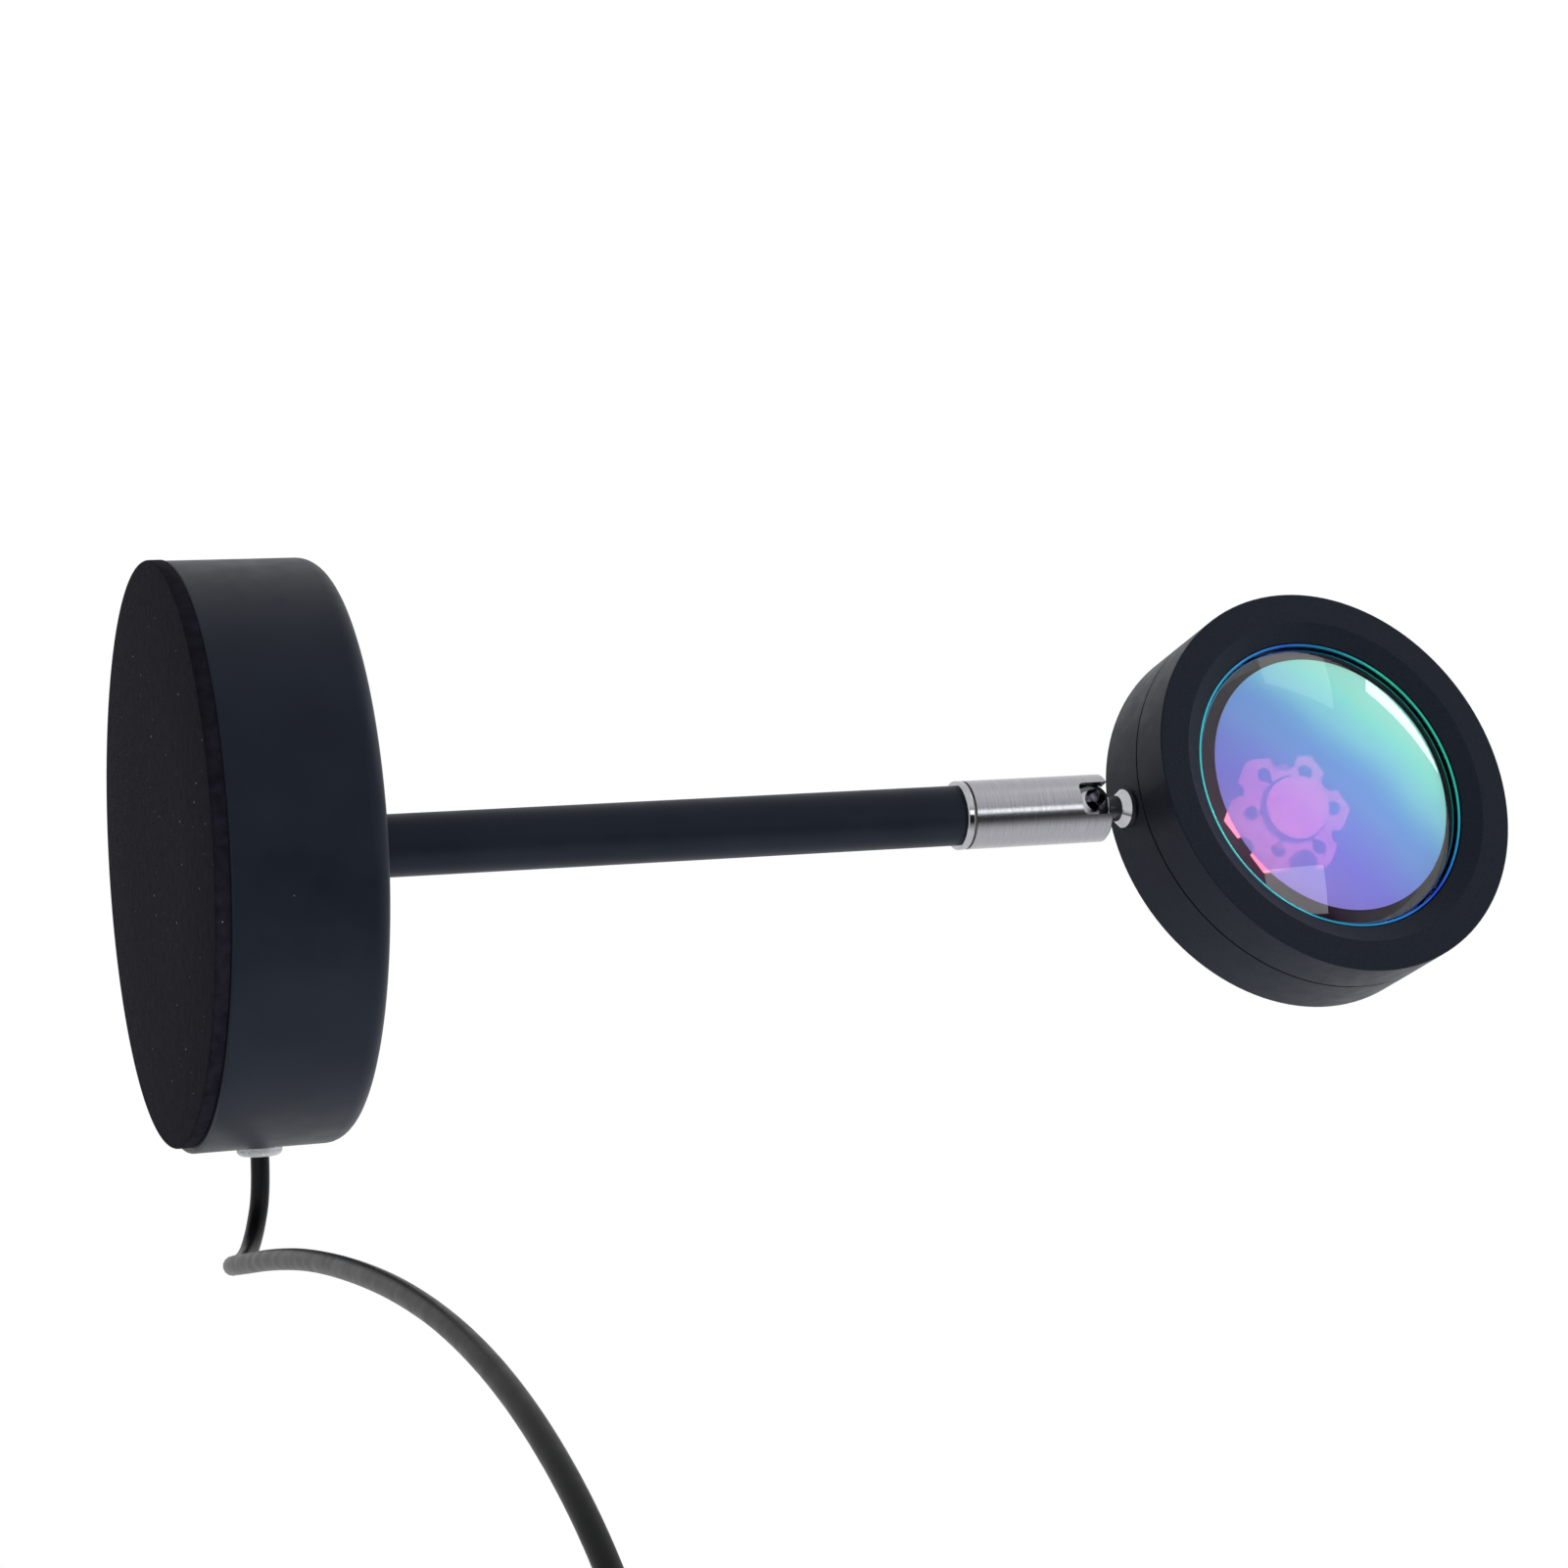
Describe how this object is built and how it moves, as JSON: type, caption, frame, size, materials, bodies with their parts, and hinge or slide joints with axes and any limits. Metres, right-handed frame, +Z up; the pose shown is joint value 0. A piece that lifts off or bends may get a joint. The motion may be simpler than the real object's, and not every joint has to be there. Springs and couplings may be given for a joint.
{
  "type": "sunset projection lamp",
  "caption": "Small USB-fed table lamp: a weighted round base, a slim stem, a slotted ball swivel and a flat round head whose coated lens throws a coloured disc of light.",
  "frame": {"origin": "middle of the base's underside, on the table", "axes": "+Z up the stem; +X towards the side where the cord leaves the base; -Y towards the viewer. At rest the lens faces -Y, turned 23.2 degrees towards -X and 6.3 degrees up"},
  "size_m": [0.2117, 0.3079, 0.2589],
  "materials": {
    "blue_black_paint": "satin",
    "black_anodised": "satin, dark anodised",
    "brushed_nickel": "brushed round",
    "bright_plate": "polished",
    "zinc_plate": "zinc plated",
    "iron": "rough",
    "foam": "matte closed-cell foam",
    "bush_plastic": "translucent",
    "natural_nylon": "satin",
    "cord_sheath": "smooth soft PVC",
    "spring_steel": "bright",
    "coated_glass": "polished, thin-film coated",
    "filter_glass": "polished, thin-film coated",
    "gasket_rubber": "matte",
    "black_inside": "matte",
    "thermal_silicone": "matte",
    "board_white": "white solder resist on aluminium",
    "emitter_silicone": "clear dome over phosphor",
    "board_green": "solder resist",
    "wire_sheath": "smooth",
    "tie_strap": "woven hook-and-loop strap",
    "switch_plastic": "fine texture",
    "button_plastic": "smooth",
    "contact_plastic": "moulded",
    "tongue_plastic": "moulded"
  },
  "bodies": {
    "base": {"base_shell": "blue_black_paint", "base_weight": "iron", "base_plate": "zinc_plate", "threaded_posts": "zinc_plate", "base_screws": "zinc_plate", "foam_pad": "foam", "cord_bush": "bush_plastic", "lead_stop": "natural_nylon", "inner_lead": "cord_sheath", "stem_tube": "blue_black_paint", "stem_nipple": "zinc_plate", "nipple_washer": "zinc_plate", "nipple_nut": "zinc_plate", "swivel_post": "bright_plate", "swivel_glide": "natural_nylon", "swivel_lock_ring": "zinc_plate", "cord_lead": "cord_sheath", "cord_coil": "cord_sheath", "coil_tie": "tie_strap", "cord_tail": "cord_sheath", "switch_base": "switch_plastic", "switch_cover": "switch_plastic", "switch_contact": "contact_plastic", "plug_grip": "switch_plastic", "plug_shell": "bright_plate", "plug_contact_tongue": "tongue_plastic"},
    "barrel": {"barrel": "brushed_nickel", "lower_disc_spring": "spring_steel", "upper_disc_spring": "spring_steel", "ball_seat": "natural_nylon"},
    "stud": {"ball_stud": "bright_plate", "stud_washer": "zinc_plate", "stud_nut": "zinc_plate"},
    "head": {"rear_housing": "black_anodised", "front_bezel": "black_anodised", "lens_gasket": "gasket_rubber", "lens": "coated_glass", "lens_retainer": "black_anodised", "colour_filter": "filter_glass", "light_shroud": "black_inside", "thermal_pad": "thermal_silicone", "led_board": "board_white", "led_emitter": "emitter_silicone", "board_screws": "zinc_plate", "driver_board": "board_green", "head_wires": "wire_sheath"},
    "switch_button": {"switch_button": "button_plastic"}
  },
  "joints": [
    {"name": "barrel_swivel", "type": "hinge", "parent": "base", "child": "barrel", "pos_m": [0, 0, 0.15], "axis": [0, 0, 1], "range_deg": [-170, 170]},
    {"name": "head_tilt", "type": "hinge", "parent": "barrel", "child": "stud", "pos_m": [0, 0, 0.1722], "axis": [0.9191, -0.3939, 0], "range_deg": [-14, 92]},
    {"name": "head_turn", "type": "hinge", "parent": "stud", "child": "head", "pos_m": [0, 0, 0.1722], "axis": [0.0432, 0.1009, 0.994], "range_deg": [-90, 90]},
    {"name": "switch_push", "type": "slide", "parent": "base", "child": "switch_button", "axis": [0, 0, -1], "range_m": [0, 0.0012], "stiffness_N_per_m": 300}
  ]
}
